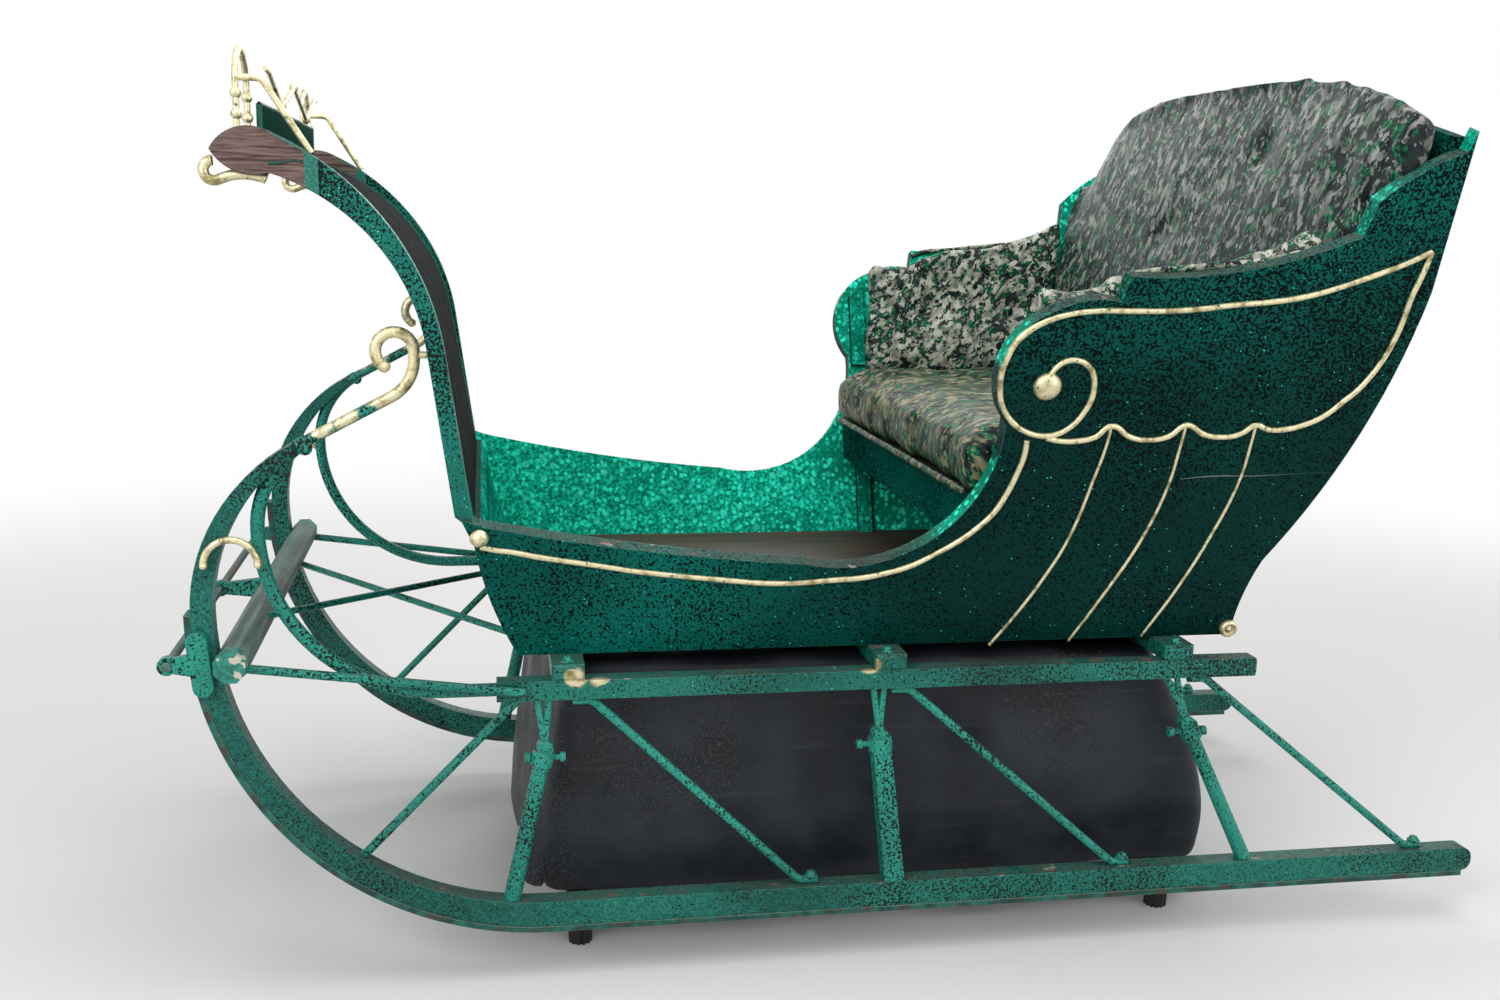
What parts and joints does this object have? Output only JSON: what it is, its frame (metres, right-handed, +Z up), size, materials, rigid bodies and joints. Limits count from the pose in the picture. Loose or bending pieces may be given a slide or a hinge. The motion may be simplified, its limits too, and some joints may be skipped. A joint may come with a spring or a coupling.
{
  "type": "horse drawn sleigh on a display bench",
  "caption": "Low open sleigh with flared scroll-cut sides, padded seat, curled runners and dash, iron struts and braces, standing on an upholstered bench.",
  "frame": {"origin": "on the floor, under the middle of the whole object's box", "axes": "+X to the back of the sleigh, -Y its left side, +Z up"},
  "size_m": [1.912, 1.1482, 1.26],
  "materials": {
    "green_wood": "green paint with glitter and dark speckle",
    "green_iron": "green paint with glitter, chipped",
    "gilt": "worn gilt",
    "shoe_iron": "worn green paint on iron",
    "rusty_iron": "rusty, some green paint",
    "dusty_wood": "grey-green, dusty",
    "plain_wood": "old brown boards",
    "dark_wood": "black, worn",
    "dash_leather": "dark, dusty",
    "bench_leather": "black, scuffed",
    "marbled_cloth": "shiny marbled silver, black and green",
    "green_mesh": "dark green mesh"
  },
  "bodies": {
    "sleigh": {"side_panel_left": "green_wood", "side_panel_right": "green_wood", "toe_board": "green_wood", "back_panel": "green_wood", "seat_apron": "green_wood", "seat_posts": "green_wood", "seat_deck": "plain_wood", "floor": "plain_wood", "dash_rail_left": "green_wood", "dash_rail_right": "green_wood", "dash_panel": "dash_leather", "runner_left": "green_wood", "runner_right": "green_wood", "shoe_left": "shoe_iron", "shoe_right": "shoe_iron", "side_rail_left": "green_wood", "side_rail_right": "green_wood", "bolster_front": "green_wood", "bolster_middle": "green_wood", "bolster_rear": "green_wood", "struts_left": "green_iron", "struts_right": "green_iron", "braces_left": "green_iron", "braces_right": "green_iron", "fender_left": "green_iron", "fender_right": "green_iron", "hook_left": "gilt", "hook_right": "gilt", "draft_bar": "dusty_wood", "draft_eye_left": "green_iron", "draft_eye_right": "green_iron", "draft_eye_centre": "green_iron", "end_stays": "green_iron", "cross_stays": "green_iron", "dash_horns": "gilt", "rein_hoop_left": "gilt", "rein_hoop_right": "gilt", "rein_mesh": "green_mesh", "seat_cushion": "marbled_cloth", "back_cushion": "marbled_cloth", "arm_pad_left": "marbled_cloth", "arm_pad_right": "marbled_cloth", "plinth_bench": "bench_leather", "plinth_feet": "dark_wood"},
    "shaft_rod": {"shaft_rod": "rusty_iron"}
  },
  "joints": [
    {"name": "shaft_rod_turn", "type": "hinge", "parent": "sleigh", "child": "shaft_rod", "pos_m": [-0.944, 0, 0.47], "axis": [0, 1, 0], "continuous": true}
  ]
}
